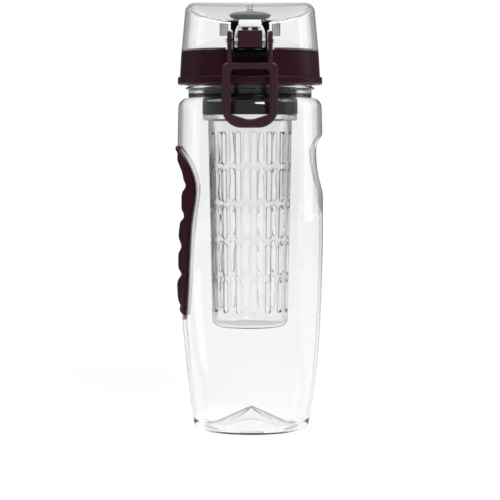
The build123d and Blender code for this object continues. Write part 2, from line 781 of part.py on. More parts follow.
def lock_loop():
    """The carry loop that also locks the dome: two arms, a crossbar and a ring with a bevelled edge."""
    middle = loop_ring_top - (loop_ring_top - loop_ring_bottom) / 2
    outer = Pos(0, middle) * Rectangle(2 * loop_ring_half_width, loop_ring_top - loop_ring_bottom)
    outer = fillet(outer.vertices().group_by(Axis.Y)[-1], loop_ring_round)
    outer = fillet(outer.vertices().group_by(Axis.Y)[0], loop_bottom_round)
    hole = make_face(Polyline(
        (-loop_hole_half_width, loop_hole_top), (loop_hole_half_width, loop_hole_top),
        (loop_hole_half_width, loop_hole_corner_height), (0, loop_hole_tip_height),
        (-loop_hole_half_width, loop_hole_corner_height), close=True))
    hole = fillet(hole.vertices(), loop_hole_round)
    arm_bottom = loop_ring_top - (loop_ring_top - loop_hole_top) / 2
    arm_width = loop_arm_outer - loop_arm_inner
    arms = Sketch() + [
        Pos(side * (loop_arm_inner + arm_width / 2), arm_bottom) * Rectangle(
            arm_width, loop_arm_top - arm_bottom, align=(Align.CENTER, Align.MIN))
        for side in (-1, 1)]
    arms = fillet(arms.vertices().group_by(Axis.Y)[-1], loop_arm_round)
    face = outer - hole + arms
    shape = front_plate(face, -pivot_offset - loop_half_thickness, loop_half_thickness - pivot_offset)
    rims = shape.faces().sort_by(Axis.Y)
    shape = chamfer(rims[0].edges() + rims[-1].edges(), loop_bevel)
    bore = cross_rod(pivot_pin_radius + running_gap, -reach, reach, -pivot_offset, pivot_height)
    return shape - bore


def infuser_seal():
    low = ring_top + soft_gap
    inner = skirt_bore_radius + soft_gap
    return ring(inner, inner + infuser_seal_width, low, low + infuser_seal_thickness)


def infuser_ring():
    """The black ring on the basket: a grip ring below and a threaded neck above."""
    spigot = basket_top_radius + running_gap
    shape = disc(ring_radius, ring_bottom, ring_top) + disc(ring_neck_radius, ring_top, ring_neck_top)
    shape = shape - disc(ring_bore_radius, ring_bottom - overrun, ring_neck_top + overrun)
    shape = shape - disc(spigot, ring_bottom - overrun, basket_flange_top + basket_spigot_length + part_gap)
    ridge = helical_ridge(ring_neck_radius, ring_neck_radius + infuser_thread_height,
                          infuser_thread_root_width, infuser_thread_crest_width, infuser_pitch,
                          infuser_thread_turns, infuser_thread_start_height, thread_start_angle)
    return shape + ridge


def basket_shape(inset):
    top = basket_flange_top + basket_spigot_length
    bottom = basket_bottom + inset
    corner = (basket_bottom_radius - inset, basket_bottom + basket_corner)
    flat = (basket_bottom_radius - basket_corner, bottom)
    return turned(make_face([
        Line((0, bottom), flat),
        TangentArc(flat, corner, tangent=(1, 0)),
        Line(corner, (basket_top_radius - inset, basket_flange_bottom)),
        Line((basket_top_radius - inset, basket_flange_bottom), (basket_top_radius - inset, top)),
        Line((basket_top_radius - inset, top), (0, top)),
        Line((0, top), (0, bottom)),
    ]))


def infuser_basket():
    inside = basket_shape(basket_wall) + disc(
        basket_top_radius - basket_wall, basket_flange_top, basket_flange_top + 2 * basket_spigot_length)
    flange = disc(basket_flange_radius, basket_flange_bottom, basket_flange_top)
    flange = fillet(flange.edges(), basket_wall / 2)
    shape = basket_shape(0) + flange - inside
    slot = SlotOverall(slot_height, slot_width, rotation=90)
    cuts = []
    for row in range(slot_rows):
        middle = slot_top - slot_height / 2 - row * slot_row_pitch
        cut = extrude(Plane.YZ.offset(basket_bottom_radius / 2) * Pos(0, middle) * slot, basket_top_radius)
        for place in range(slot_count):
            cuts.append(Rot(0, 0, slot_first_angle + place * 360 / slot_count) * cut)
    return shape - cuts


save(bottle_body(), "bottle_body")
save(side_grip(), "side_grip")
save(neck_gasket(), "neck_gasket")
save(lid_band(), "lid_band")
save(lid_core(), "lid_core")
save(infuser_skirt(), "infuser_skirt")
save(drinking_spout(), "drinking_spout")
save(vent_valve(), "vent_valve")
save(dome_lid(), "dome_lid")
save(spout_seal(), "spout_seal")
save(hinge_pin(), "hinge_pin")
save(hinge_spring(), "hinge_spring")
save(latch_pin(), "latch_pin")
save(latch_button(), "latch_button")
save(button_spring(), "button_spring")
save(lock_loop(), "lock_loop")
save(infuser_seal(), "infuser_seal")
save(infuser_ring(), "infuser_ring")
save(infuser_basket(), "infuser_basket")
print("inside volume to the neck top, litres",
      round(bottle_solid(bottle_wall, neck_top).volume / 1e6, 3))
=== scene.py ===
"""The looks of the fruit infuser bottle: finishes, finer shapes, camera and light over the fixed frame.

Shapes are in millimetres, with +X to the pinch and -Y to the latch. Finishes, camera and lamps are in metres.
"""
import json
import math

import bmesh
import bpy
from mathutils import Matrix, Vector

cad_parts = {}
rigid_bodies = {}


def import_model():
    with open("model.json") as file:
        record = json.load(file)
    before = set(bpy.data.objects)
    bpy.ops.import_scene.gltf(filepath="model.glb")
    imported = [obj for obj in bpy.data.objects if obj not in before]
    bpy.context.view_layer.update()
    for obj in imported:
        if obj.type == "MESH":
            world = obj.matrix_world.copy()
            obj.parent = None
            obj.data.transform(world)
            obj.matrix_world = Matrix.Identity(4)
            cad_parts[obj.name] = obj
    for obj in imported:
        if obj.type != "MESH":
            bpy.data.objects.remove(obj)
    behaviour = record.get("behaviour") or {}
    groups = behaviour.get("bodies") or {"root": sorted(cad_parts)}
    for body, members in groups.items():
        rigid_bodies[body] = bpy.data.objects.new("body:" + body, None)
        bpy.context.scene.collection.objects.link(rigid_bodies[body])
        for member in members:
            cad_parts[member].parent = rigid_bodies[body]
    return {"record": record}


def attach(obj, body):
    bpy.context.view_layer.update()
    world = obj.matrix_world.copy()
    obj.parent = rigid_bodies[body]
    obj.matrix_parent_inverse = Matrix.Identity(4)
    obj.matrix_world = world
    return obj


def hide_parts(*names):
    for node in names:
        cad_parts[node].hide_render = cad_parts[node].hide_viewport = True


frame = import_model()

MM = 0.001
SHARP_EDGE, BEVEL_SEGMENTS = math.radians(30), 3
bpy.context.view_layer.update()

# Camera: eye level at the bottle's shoulder, square to the latch
EYE_DISTANCE, EYE_HEIGHT, AIM_HEIGHT = 1.207, 0.1829, 0.109
LENS_MM, SENSOR_MM = 142.7, 36.0

# The world's level on plain surfaces, in gloss, through glass and behind everything
WORLD_LIGHT, WORLD_REFLECTED, WORLD_THROUGH_GLASS, WORLD_SEEN = 0.34, 0.1, 0.5, 1.0

# Floor: its half width and paint, and its glow, which is weaker near the bottle so that a shadow shows there
FLOOR_HALF, FLOOR_PAINT, FLOOR_ROUGHNESS, FLOOR_GLOSS = 3.0, 0.84, 0.6, 0.2
GLOW_NEAR, GLOW_FAR = 0.05, 0.6
GLOW_NEAR_LEVEL, GLOW_FAR_LEVEL = 0.7, 1.0
BACKDROP_HALF, BACKDROP_Y, BACKDROP_LOW, BACKDROP_HIGH = 0.27, 1.2, -0.3, 0.9
BACKDROP_PAINT, BACKDROP_ROUGHNESS = 0.8, 0.8

# Lamps: place, aim, width and height, and power in watts
LAMPS = {
    "left_box": ((-1.1, 0.3, 0.5), (0, 0, 0.13), (0.5, 0.9), 0.7),
    "right_box": ((1.1, 0.3, 0.5), (0, 0, 0.13), (0.5, 0.9), 1.5),
    "front_box": ((0.3, -0.85, 0.95), (0, 0, 0.14), (0.3, 0.3), 8.0),
    "overhead": ((0.0, 0.1, 1.35), (0, 0.1, 0), (1.9, 0.5), 17.0),
}

# Finishes: noise in waves per metre
CLOUD_SCALE, GRAIN_SCALE, FLOW_SCALE, LAY_SCALE = 60, 2600, 45, 1800
FLOW_STRETCH = (1, 1, 0.35)
STEEL_RELIEF, STEEL_DARK, STEEL_ROUGHEST = 0.00001, 0.8, 1.6
BEVEL_SAMPLES = 6

# Moulded plastics: darkest and lightest colour, lowest and highest roughness, height of the grain, gloss
MOULDED = {
    "burgundy_plastic": ((0.019, 0.0042, 0.0075), (0.028, 0.0068, 0.011), 0.30, 0.38, 0.00002, 0.1),
    "button_plastic": ((0.024, 0.006, 0.010), (0.033, 0.009, 0.014), 0.30, 0.40, 0.00002, 0.24),
    "loop_plastic": ((0.026, 0.0085, 0.012), (0.037, 0.013, 0.0185), 0.34, 0.44, 0.00002, 0.2),
    "black_plastic": ((0.0012, 0.001, 0.0011), (0.0026, 0.0022, 0.0024), 0.22, 0.3, 0.00002, 0.12),
    "grip_rubber": ((0.027, 0.0058, 0.0115), (0.037, 0.0085, 0.016), 0.42, 0.52, 0.00003, 0.02),
    # The finger lobes' rubber is darker as painted shade; its coarser grain and roughness are its own
    "lobe_rubber": ((0.014, 0.0035, 0.0065), (0.026, 0.0065, 0.0115), 0.5, 0.65, 0.00012, 0.06),
    "grey_silicone": ((0.075, 0.075, 0.075), (0.1, 0.1, 0.1), 0.45, 0.6, 0.00002, 0.3),
    # The tab's white is painted highlight: the clear tab painted white for its bright reflections
    "milky_plastic": ((0.86, 0.86, 0.86), (0.93, 0.93, 0.93), 0.12, 0.2, 0.00002, 0.5),
}

# Clear plastics: colour face on and edge on, highest roughness, height of the flow waves, share of lamp light let
# through, facing at which the edge's colour starts and is full, rounding that edges seem to have, refractive index.
# The edge-on colour is painted shade along the edges of the clear plastic
CLEAR = {
    "clear_plastic": ((0.97, 0.97, 0.97), (0.03, 0.03, 0.032), 0.02, 0.00006, 0.9, 0.75, 0.92, 0.0, 1.5),
    "dome_plastic": ((0.97, 0.97, 0.97), (0.04, 0.04, 0.042), 0.015, 0.00005, 0.9, 0.68, 0.98, 0.0, 1.5),
    "basket_plastic": ((0.96, 0.96, 0.96), (0.03, 0.03, 0.032), 0.03, 0.00005, 0.86, 0.42, 0.98, 0.0007, 1.5),
    "base_plastic": ((0.97, 0.97, 0.97), (0.5, 0.5, 0.51), 0.02, 0.00006, 0.9, 0.8, 0.98, 0.0, 1.2),
    # The ribs' plastic is dark grey even face on: painted shade on the clear ribs
    "rib_plastic": ((0.3, 0.3, 0.31), (0.12, 0.12, 0.12), 0.05, 0.00005, 0.7, 0.6, 0.98, 0.0, 1.5),
}

# Steels: brightness, roughness, and how the lines are stretched
STEEL = {
    "pin_steel": (0.6, 0.22, (0.05, 1, 1)),
    "spring_steel": (0.5, 0.25, (1, 1, 1)),
}


def new_material(name):
    """An empty node material with its output and one Principled shader."""
    mat = bpy.data.materials.new(name)
    mat.use_nodes = True
    nodes = mat.node_tree.nodes
    nodes.clear()
    out = nodes.new("ShaderNodeOutputMaterial")
    shader = nodes.new("ShaderNodeBsdfPrincipled")
    mat.node_tree.links.new(shader.outputs["BSDF"], out.inputs["Surface"])
    return mat, nodes, mat.node_tree.links, shader, out


def noise(nodes, links, scale, detail=3.0, stretch=(1, 1, 1)):
    """Noise in object space, in waves per metre."""
    place = nodes.new("ShaderNodeTexCoord")
    mapping = nodes.new("ShaderNodeMapping")
    mapping.inputs["Scale"].default_value = stretch
    links.new(place.outputs["Object"], mapping.inputs["Vector"])
    texture = nodes.new("ShaderNodeTexNoise")
    texture.inputs["Scale"].default_value = scale
    texture.inputs["Detail"].default_value = detail
    links.new(mapping.outputs["Vector"], texture.inputs["Vector"])
    return texture.outputs["Fac"]


def spread(nodes, links, value, low, high):
    """Maps a noise value to the range from low to high."""
    span = nodes.new("ShaderNodeMapRange")
    span.inputs["To Min"].default_value = low
    span.inputs["To Max"].default_value = high
    links.new(value, span.inputs["Value"])
    return span.outputs["Result"]


def bump(nodes, links, shader, height, distance, rounding=0.0):
    """Relief from a height. With a rounding, edges look rounded by it, and the rounded normal is returned."""
    node = nodes.new("ShaderNodeBump")
    node.inputs["Distance"].default_value = distance
    links.new(height, node.inputs["Height"])
    links.new(node.outputs["Normal"], shader.inputs["Normal"])
    if not rounding:
        return None
    soft = nodes.new("ShaderNodeBevel")
    soft.samples = BEVEL_SAMPLES
    soft.inputs["Radius"].default_value = rounding
    links.new(soft.outputs["Normal"], node.inputs["Normal"])
    return soft.outputs["Normal"]


def blend_colours(nodes, links, shader, value, dark, light):
    """Colours the shader between dark and light, by a value from 0 to 1."""
    mix = nodes.new("ShaderNodeMix")
    mix.data_type = "RGBA"
    mix.inputs["A"].default_value = (*dark, 1)
    mix.inputs["B"].default_value = (*light, 1)
    links.new(value, mix.inputs["Factor"])
    links.new(mix.outputs["Result"], shader.inputs["Base Color"])


def moulded_plastic(name, dark, light, rough_low, rough_high, grain, gloss):
    """Injection-moulded plastic: slightly cloudy colour, a fine eroded grain and uneven gloss."""
    mat, nodes, links, shader, _ = new_material(name)
    cloud = noise(nodes, links, CLOUD_SCALE)
    fine = noise(nodes, links, GRAIN_SCALE, detail=2)
    blend_colours(nodes, links, shader, cloud, dark, light)
    links.new(spread(nodes, links, cloud, rough_low, rough_high), shader.inputs["Roughness"])
    bump(nodes, links, shader, fine, grain)
    shader.inputs["Specular IOR Level"].default_value = gloss
    return mat


def mixed(nodes, links, factor, first, second):
    """A shader that goes from first to second as the factor goes from 0 to 1."""
    mix = nodes.new("ShaderNodeMixShader")
    links.new(factor, mix.inputs["Fac"])
    links.new(first, mix.inputs[1])
    links.new(second, mix.inputs[2])
    return mix.outputs["Shader"]


def clear_plastic(name, tint, edge, rough, wave, passes, edge_shade_start, edge_shade_end, rounding, ior):
    """Clear plastic with faint flow waves, and painted shade where it is seen edge on.
    Lamp light passes through it, a little dimmed."""
    mat, nodes, links, shader, out = new_material(name)
    # Painted shade: the colour goes over to the edge-on colour as the surface turns edge on
    grazing = nodes.new("ShaderNodeLayerWeight")
    grazing.inputs["Blend"].default_value = 0.5
    rim = nodes.new("ShaderNodeMapRange")
    rim.interpolation_type = "SMOOTHSTEP"
    rim.inputs["From Min"].default_value = edge_shade_start
    rim.inputs["From Max"].default_value = edge_shade_end
    links.new(grazing.outputs["Facing"], rim.inputs["Value"])
    blend_colours(nodes, links, shader, rim.outputs["Result"], tint, edge)
    shader.inputs["Transmission Weight"].default_value = 1.0
    shader.inputs["IOR"].default_value = ior
    flow = noise(nodes, links, FLOW_SCALE, detail=2, stretch=FLOW_STRETCH)
    links.new(spread(nodes, links, flow, 0.0, rough), shader.inputs["Roughness"])
    soft = bump(nodes, links, shader, flow, wave, rounding)
    # With a rounding, the painted edge shade follows the rounded edges too, as dark outlines
    if soft:
        links.new(soft, grazing.inputs["Normal"])
    path = nodes.new("ShaderNodeLightPath")
    through = nodes.new("ShaderNodeBsdfTransparent")
    through.inputs["Color"].default_value = (passes, passes, passes, 1)
    links.new(mixed(nodes, links, path.outputs["Is Shadow Ray"], shader.outputs["BSDF"], through.outputs["BSDF"]),
              out.inputs["Surface"])
    return mat


def steel(name, level, rough, lay):
    """Drawn steel with fine lines along the wire or rod."""
    mat, nodes, links, shader, _ = new_material(name)
    shader.inputs["Metallic"].default_value = 1.0
    lines = noise(nodes, links, LAY_SCALE, detail=2, stretch=lay)
    blend_colours(nodes, links, shader, lines, (level * STEEL_DARK,) * 3, (level,) * 3)
    links.new(spread(nodes, links, lines, rough, rough * STEEL_ROUGHEST), shader.inputs["Roughness"])
    bump(nodes, links, shader, lines, STEEL_RELIEF)
    return mat


def finishes():
    """The materials of the three tables, by name."""
    made = {}
    for finish, rows in ((clear_plastic, CLEAR), (moulded_plastic, MOULDED), (steel, STEEL)):
        for name, row in rows.items():
            made[name] = finish(name, *row)
    return made


MATERIALS = finishes()


def dress_nodes():
    """Gives every node of the frame the finish that its record slot names."""
    for part in frame["record"]["subparts"]:
        for place in bpy.data.objects[part["node"]].material_slots:
            place.material = MATERIALS[part["material_slot"]]


dress_nodes()

# Bottle: the turned outside, with the pinch and the grip's seat taken from its sides
BELLY_RADIUS, BELLY_HEIGHT = 44.5, 122.0
FOOT_INNER, FOOT_OUTER, FOOT_SIDE, FOOT_ROUND_HEIGHT = 26.5, 30.5, 35.5, 5.5
PUSH_UP, PETALS, PETAL_DEPTH = 12.0, 6, 0.3
SHOULDER_RADIUS, SHOULDER_HEIGHT = 43.6, 195.5
NECK_RADIUS, NECK_BORE, NECK_TOP, NECK_EDGE, NECK_EDGE_CUT = 37.4, 35.4, 223.6, 0.4, 0.12
SHOULDER_ROUND = SHOULDER_RADIUS - NECK_RADIUS
SHOULDER_TOP = SHOULDER_HEIGHT + SHOULDER_ROUND
WALL = 1.6
# The foot's wall has base_plastic, whose painted edge shade is paler and whose index is lower, up to FOOT_TINT_TOP
# and from FOOT_TINT_IN inside FOOT_OUTER outward
FOOT_TINT_TOP, FOOT_TINT_IN = 8.0, 0.6

# Neck: a bead and a thread with soft flanks, whose height fades in and out by THREAD_FADE a turn
BEAD_HEIGHT, BEAD_PROUD, BEAD_HALF = 207.2, 1.9, 0.9
PITCH, TURNS, THREAD_PROUD, THREAD_START = 4.8, 1.25, 1.2, 213.4
THREAD_ROOT, THREAD_CREST, THREAD_ANGLE, THREAD_FADE = 2.0, 1.0, math.radians(20), 14

# Pinch and grip's seat: distances from the axis, rounding of their borders, and how near to the side they reach
PINCH_HEIGHT, PINCH_OFFSET, PINCH_UPPER, PINCH_LOWER = 168.8, 39.7, 13.5, 62.0
SEAT_HEIGHTS = [70.7, 90.0, 110.0, 130.0, 149.0, 161.5, 172.5]
SEAT_OFFSETS = [39.6, 38.0, 36.9, 35.4, 33.5, 37.5, 44.8]
SEAT_BOTTOM, SEAT_TOP = SEAT_HEIGHTS[0], SEAT_HEIGHTS[-1]
SEAT_LEDGE = 1.4
PINCH_ROUND, SEAT_ROUND, SIDEWAYS = 1.4, 0.5, 0.3
# Below the seat the grip's side stays a little flattened, and the lower body stands a little to the other side
PRESS_HEIGHTS = [30.0, 42.2, 51.4, 57.4, 62.9, 67.8]
PRESS_OFFSETS = [39.5, 40.1, 40.7, 41.05, 41.3, 41.5]
LEAN_HEIGHTS = [0.0, 15.0, 30.0, 45.0, 60.0, 75.0, 96.0]
LEAN_OFFSETS = [0.8, 1.0, 1.25, 1.05, 0.65, 0.3, 0.0]

# How finely the bottle is drawn: points around, heights of the foot's rings, and steps between the others.
# The rings stand closer from LEDGE_BELOW under the seat's ledge to LEDGE_ABOVE over it, and between PINCH_ENDS
BOTTLE_AROUND = 208
BASE_CENTRE, BASE_START, BASE_STEP = 0.4, 1.5, 1.4
FOOT_HEIGHTS = [0.06, 0.25, 0.6, 1.2, 2.0, 3.0, 4.2]
LEDGE_BELOW, LEDGE_ABOVE, LEDGE_STEP = 4.8, 0.6, 0.4
PINCH_ENDS = (144, 186)
OUTER_STEPS, INNER_STEPS = (1.6, 0.8, 1.2), (2.2, 0.9, 1.8)      # plain sides, pinch, shoulder
SHOULDER_RINGS = 12
NECK_START, NECK_STEP = 0.6, 0.3
BORE_RISES = (0, 3, 9)
# The inside of the foot: an arc a little tighter than the outer one, squeezed inward
FOOT_BORE_HEIGHTS = (4.2, 3.2, 2.5, 2.0, 1.7)
FOOT_BORE_IN, FOOT_BORE_TIGHTER, FOOT_BORE_SQUEEZE = 0.6, 1, 0.86


def arc_radius(low, high):
    """Radius of the arc that stands upright at one (radius, height) point and passes through the other."""
    across = high[0] - low[0]
    up = high[1] - low[1]
    return -(across ** 2 + up ** 2) / (2 * across)


FOOT_ARC = ((FOOT_SIDE - FOOT_OUTER) ** 2 + FOOT_ROUND_HEIGHT ** 2) / (2 * FOOT_ROUND_HEIGHT)
SIDE_ARC = arc_radius((BELLY_RADIUS, BELLY_HEIGHT), (FOOT_SIDE, FOOT_ROUND_HEIGHT))
UPPER_ARC = arc_radius((BELLY_RADIUS, BELLY_HEIGHT), (SHOULDER_RADIUS, SHOULDER_HEIGHT))


def spline_through(xs, ys):
    """A natural cubic spline through the given points, as a function."""
    n = len(xs)
    gaps = [b - a for a, b in zip(xs, xs[1:])]
    slopes = [(b - a) / h for a, b, h in zip(ys, ys[1:], gaps)]
    bends = [0.0] * n
    diagonal = [1.0] * n
    right = [0.0] * n
    for i in range(1, n - 1):
        lower = gaps[i - 1] / diagonal[i - 1] if i > 1 else 0.0
        diagonal[i] = 2 * (gaps[i - 1] + gaps[i]) - lower * (gaps[i - 1] if i > 1 else 0.0)
        right[i] = 6 * (slopes[i] - slopes[i - 1]) - lower * right[i - 1]
    for i in range(n - 2, 0, -1):
        bends[i] = (right[i] - (gaps[i] * bends[i + 1] if i < n - 2 else 0.0)) / diagonal[i]

    def value(x):
        """The spline's value at x."""
        i = max(k for k in range(n - 1) if xs[k] <= x or k == 0)
        h = gaps[i]
        a = (xs[i + 1] - x) / h
        b = (x - xs[i]) / h
        return (a * ys[i] + b * ys[i + 1]
                + ((a ** 3 - a) * bends[i] + (b ** 3 - b) * bends[i + 1]) * h * h / 6)
    return value


seat_offset = spline_through(SEAT_HEIGHTS, SEAT_OFFSETS)
press_offset = spline_through(PRESS_HEIGHTS, PRESS_OFFSETS)
lean_offset = spline_through(LEAN_HEIGHTS, LEAN_OFFSETS)


def leaned(points):
    """The points, moved over by how far the body leans at their heights."""
    return [(x + (lean_offset(max(z, 0.0)) if z < LEAN_HEIGHTS[-1] else 0.0), y, z) for x, y, z in points]


def share_of(value):
    """The value, kept between 0 and 1."""
    return min(max(value, 0.0), 1.0)


def ease(value):
    """A smooth way from 0 to 1 while the value goes from 0 to 1."""
    share = share_of(value)
    return share * share * (3 - 2 * share)


def quarter_round(share):
    """How far a rounded edge has fallen away, from 0 at its start to 1 at its end."""
    return 1 - math.sqrt(max(1 - share ** 2, 0.0))


def soft_min(one, other, width):
    """The smaller of two, with the crease between them rounded off."""
    share = max(width - abs(one - other), 0.0) / width
    return min(one, other) - share * share * width / 4


def evenly(low, high, count):
    """Evenly spaced values from low on, without high."""
    return [low + (high - low) * i / count for i in range(count)]


def steps(low, high, size):
    """Evenly spaced values from low on, without high, about one size apart."""
    return evenly(low, high, max(1, round((high - low) / size)))


def turned_radius(z):
    """The bottle's outside radius at a height, before anything is taken from its sides."""
    if z < FOOT_ROUND_HEIGHT:
        return FOOT_OUTER + math.sqrt(max(FOOT_ARC ** 2 - (z - FOOT_ARC) ** 2, 0.0))
    if z < BELLY_HEIGHT:
        return BELLY_RADIUS - SIDE_ARC + math.sqrt(SIDE_ARC ** 2 - (z - BELLY_HEIGHT) ** 2)
    if z < SHOULDER_HEIGHT:
        return BELLY_RADIUS - UPPER_ARC + math.sqrt(UPPER_ARC ** 2 - (z - BELLY_HEIGHT) ** 2)
    if z < SHOULDER_TOP:
        return NECK_RADIUS + math.sqrt(SHOULDER_ROUND ** 2 - (z - SHOULDER_HEIGHT) ** 2)
    return NECK_RADIUS


def pinch_offset(z):
    """How far the pinch's surface stands from the axis at a height, or None above and below it."""
    radius = PINCH_UPPER if z > PINCH_HEIGHT else PINCH_LOWER
    if abs(z - PINCH_HEIGHT) >= radius:
        return None
    return PINCH_OFFSET + radius - math.sqrt(radius ** 2 - (z - PINCH_HEIGHT) ** 2)


def side_radius(z, angle, inset):
    """The bottle's radius at a height and angle, drawn inset from its outside."""
    radius = turned_radius(z) - inset
    across = math.cos(angle)
    if across > SIDEWAYS and BELLY_HEIGHT < z < SHOULDER_HEIGHT:
        pinch = pinch_offset(z)
        if pinch is not None:
            radius = soft_min(radius, (pinch - inset) / across, PINCH_ROUND)
    if across < -SIDEWAYS and PRESS_HEIGHTS[0] <= z <= SEAT_TOP:
        below = ease((SEAT_BOTTOM - inset - z) / SEAT_LEDGE)
        seat = seat_offset(max(z, SEAT_BOTTOM)) * (1 - below) + press_offset(min(z, PRESS_HEIGHTS[-1])) * below
        radius = soft_min(radius, (seat - inset) / -across, SEAT_ROUND)
    return radius


def bore_radius(z, angle):
    """The radius of the bottle's inside at a height and angle."""
    if z >= SHOULDER_TOP:
        return NECK_BORE
    radius = side_radius(z, angle, WALL)
    return max(radius, NECK_BORE) if z > SHOULDER_HEIGHT else radius


def thread_height(z, angle):
    """How far the neck's thread stands out at a height and angle."""
    best = 0.0
    for lap in range(math.ceil(TURNS) + 1):
        travelled = (angle - THREAD_ANGLE + lap * 2 * math.pi) / (2 * math.pi)
        if travelled < 0 or travelled > TURNS:
            continue
        ends = min(1.0, travelled * THREAD_FADE, (TURNS - travelled) * THREAD_FADE)
        off = abs(z - THREAD_START - PITCH * travelled)
        flank = (THREAD_ROOT - THREAD_CREST) / 2
        best = max(best, THREAD_PROUD * ends * ease((THREAD_ROOT / 2 - off) / flank))
    return best


def neck_proud(z, angle):
    """How far the bead or the thread stands out from the neck."""
    if z <= SHOULDER_TOP:
        return 0.0
    proud = thread_height(z, angle)
    off = abs(z - BEAD_HEIGHT)
    if off < BEAD_HALF:
        proud = max(proud, BEAD_PROUD * math.sqrt(1 - (off / BEAD_HALF) ** 2))
    return proud


def mesh_object(name, verts, faces, body, replaced, material, smooth=True):
    """A mesh piece that rides on a body and stands for CAD nodes."""
    mesh = bpy.data.meshes.new(name)
    mesh.from_pydata([(x * MM, y * MM, z * MM) for x, y, z in verts], [], faces)
    mesh.update()
    if smooth:
        mesh.shade_smooth()
    obj = bpy.data.objects.new(name, mesh)
    bpy.context.scene.collection.objects.link(obj)
    mesh.materials.append(MATERIALS[material])
    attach(obj, body)
    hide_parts(*replaced)
    return obj


def tidy_normals(obj, bevel=0.0):
    """Turns every face outward and, if asked, bevels the sharp edges."""
    work = bmesh.new()
    work.from_mesh(obj.data)
    bmesh.ops.recalc_face_normals(work, faces=work.faces)
    if bevel:
        edges = [edge for edge in work.edges if edge.calc_face_angle(0) > SHARP_EDGE]
        bmesh.ops.bevel(work, geom=edges, offset=bevel * MM, segments=BEVEL_SEGMENTS, profile=0.5, affect="EDGES",
                        clamp_overlap=True)
    work.to_mesh(obj.data)
    work.free()


def ringed(rings, closed=False):
    """Points and faces between rings of equal length. closed joins the last ring to the first."""
    count = len(rings[0])
    verts = [point for ring in rings for point in ring]
    faces = []
    for r in range(len(rings) if closed else len(rings) - 1):
        here = r * count
        there = ((r + 1) % len(rings)) * count
        for i in range(count):
            j = (i + 1) % count
            faces.append((here + i, here + j, there + j, there + i))
    return verts, faces


def capped(rings):
    """Points and faces between rings, with a face over the first ring and one over the last."""
    verts, faces = ringed(rings)
    count = len(rings[0])
    last = len(verts) - count
    faces.append(tuple(reversed(range(count))))
    faces.append(tuple(last + i for i in range(count)))
    return verts, faces


def side_heights(ledge, plain, pinched, shoulder):
    """Ring heights from the foot to the shoulder. ledge is the height of the seat's ledge, the others are steps."""
    ends = [FOOT_ROUND_HEIGHT, ledge - LEDGE_BELOW, ledge + LEDGE_ABOVE, *PINCH_ENDS, SHOULDER_HEIGHT]
    sizes = [plain, LEDGE_STEP, plain, pinched, shoulder]
    return [z for low, high, size in zip(ends, ends[1:], sizes) for z in steps(low, high, size)]


def bottle_piece():
    """One closed skin: up the outside, over the neck's rim and down the inside."""
    angles = [2 * math.pi * i / BOTTLE_AROUND for i in range(BOTTLE_AROUND)]

    def shaped(radius_at, z):
        """A ring at a height, whose radius is radius_at(height, angle)."""
        return [(radius_at(z, a) * math.cos(a), radius_at(z, a) * math.sin(a), z) for a in angles]

    def circle(radius, z):
        """A round ring at a height."""
        return [(radius * math.cos(a), radius * math.sin(a), z) for a in angles]

    def base_ring(radius, inset):
        """A ring of the pushed-up base, with its shallow petals."""
        share = min(radius / FOOT_INNER, 1.0)
        cone = PUSH_UP * (1 - share)
        depth = PETAL_DEPTH * math.sin(math.pi * share)
        return [(radius * math.cos(a), radius * math.sin(a), cone + depth * math.cos(PETALS * a) + inset)
                for a in angles]

    base_radii = [BASE_CENTRE] + steps(BASE_START, FOOT_INNER, BASE_STEP)
    shoulder = [SHOULDER_HEIGHT + SHOULDER_ROUND * math.sin(math.pi / 2 * i / SHOULDER_RINGS)
                for i in range(SHOULDER_RINGS)]
    edge = NECK_TOP - NECK_EDGE
    neck = [SHOULDER_TOP] + steps(SHOULDER_TOP + NECK_START, edge, NECK_STEP) + [edge]

    rings = [base_ring(r, 0) for r in base_radii + [FOOT_INNER]] + [circle(FOOT_OUTER, 0)]
    for z in FOOT_HEIGHTS + side_heights(SEAT_BOTTOM, *OUTER_STEPS) + shoulder + neck:
        rings.append(shaped(lambda z, a: side_radius(z, a, 0) + neck_proud(z, a), z))
    rings += [circle(NECK_RADIUS - NECK_EDGE_CUT, NECK_TOP - NECK_EDGE_CUT), circle(NECK_RADIUS - NECK_EDGE, NECK_TOP),
              circle(NECK_BORE + NECK_EDGE, NECK_TOP), circle(NECK_BORE + NECK_EDGE_CUT, NECK_TOP - NECK_EDGE_CUT),
              circle(NECK_BORE, edge)]
    bore = side_heights(SEAT_BOTTOM - WALL, *INNER_STEPS) + shoulder + [SHOULDER_TOP + rise for rise in BORE_RISES]
    rings += [shaped(bore_radius, z) for z in reversed(bore)]
    arc = FOOT_ARC - FOOT_BORE_TIGHTER
    for z in FOOT_BORE_HEIGHTS:
        reach = math.sqrt(max(arc ** 2 - (z - WALL - arc) ** 2, 0.0))
        rings.append(circle(FOOT_OUTER - FOOT_BORE_IN + reach * FOOT_BORE_SQUEEZE, z))
    rings.append(circle(FOOT_INNER, WALL))
    rings += [base_ring(r, WALL) for r in reversed(base_radii)]

    verts, faces = capped(rings)
    obj = mesh_object("bottle_shell", leaned(verts), faces, "bottle", ["bottle_body"], "clear_plastic")
    obj.data.materials.append(MATERIALS["base_plastic"])
    for face in obj.data.polygons:
        if face.center.z < FOOT_TINT_TOP * MM and face.center.xy.length > (FOOT_OUTER - FOOT_TINT_IN) * MM:
            face.material_index = 1


